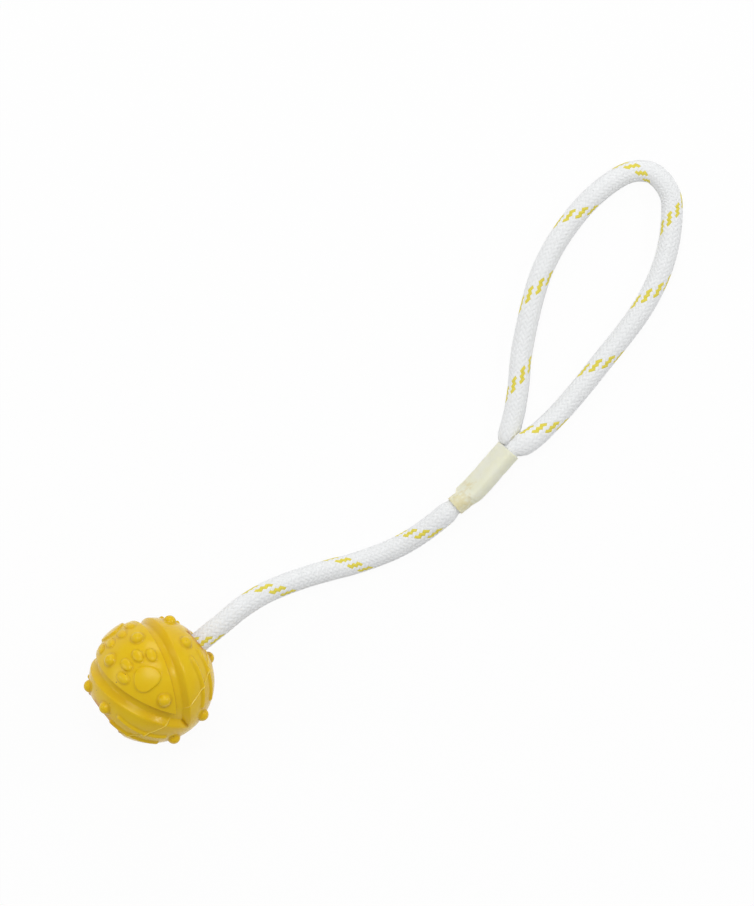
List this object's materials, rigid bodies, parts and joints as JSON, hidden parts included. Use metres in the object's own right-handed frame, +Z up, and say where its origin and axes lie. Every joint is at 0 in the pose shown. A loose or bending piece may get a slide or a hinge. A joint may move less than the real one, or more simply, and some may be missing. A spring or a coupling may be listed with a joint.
{
  "type": "floating ball on rope",
  "caption": "Yellow sponge-rubber throw ball with moulded relief, threaded on a braided rope with a stopper knot and a sleeved hand loop.",
  "frame": {"origin": "on the floor under the middle of the ball's box, with the toy lying as it is put down", "axes": "+X along the ball's bore toward the rope and the hand loop, +Z up from the floor"},
  "size_m": [0.3732, 0.0848, 0.0613],
  "materials": {
    "sponge_rubber": "satin",
    "braided_rope": "matte",
    "shrink_sleeve": "satin"
  },
  "bodies": {
    "rope": {"lead_rope": "braided_rope", "loop_sleeve": "shrink_sleeve", "sleeve_rope": "braided_rope", "rope_tail": "braided_rope", "hand_loop": "braided_rope"},
    "rope_end": {"bore_rope": "braided_rope", "stopper_knot": "braided_rope"},
    "ball": {"ball": "sponge_rubber"}
  },
  "joints": [
    {"name": "ball_spin", "type": "hinge", "parent": "rope", "child": "rope_end", "pos_m": [0, 0, 0.03053], "axis": [1, 0, 0], "continuous": true},
    {"name": "ball_slide", "type": "slide", "parent": "rope_end", "child": "ball", "axis": [1, 0, 0], "range_m": [0, 0.012]}
  ]
}
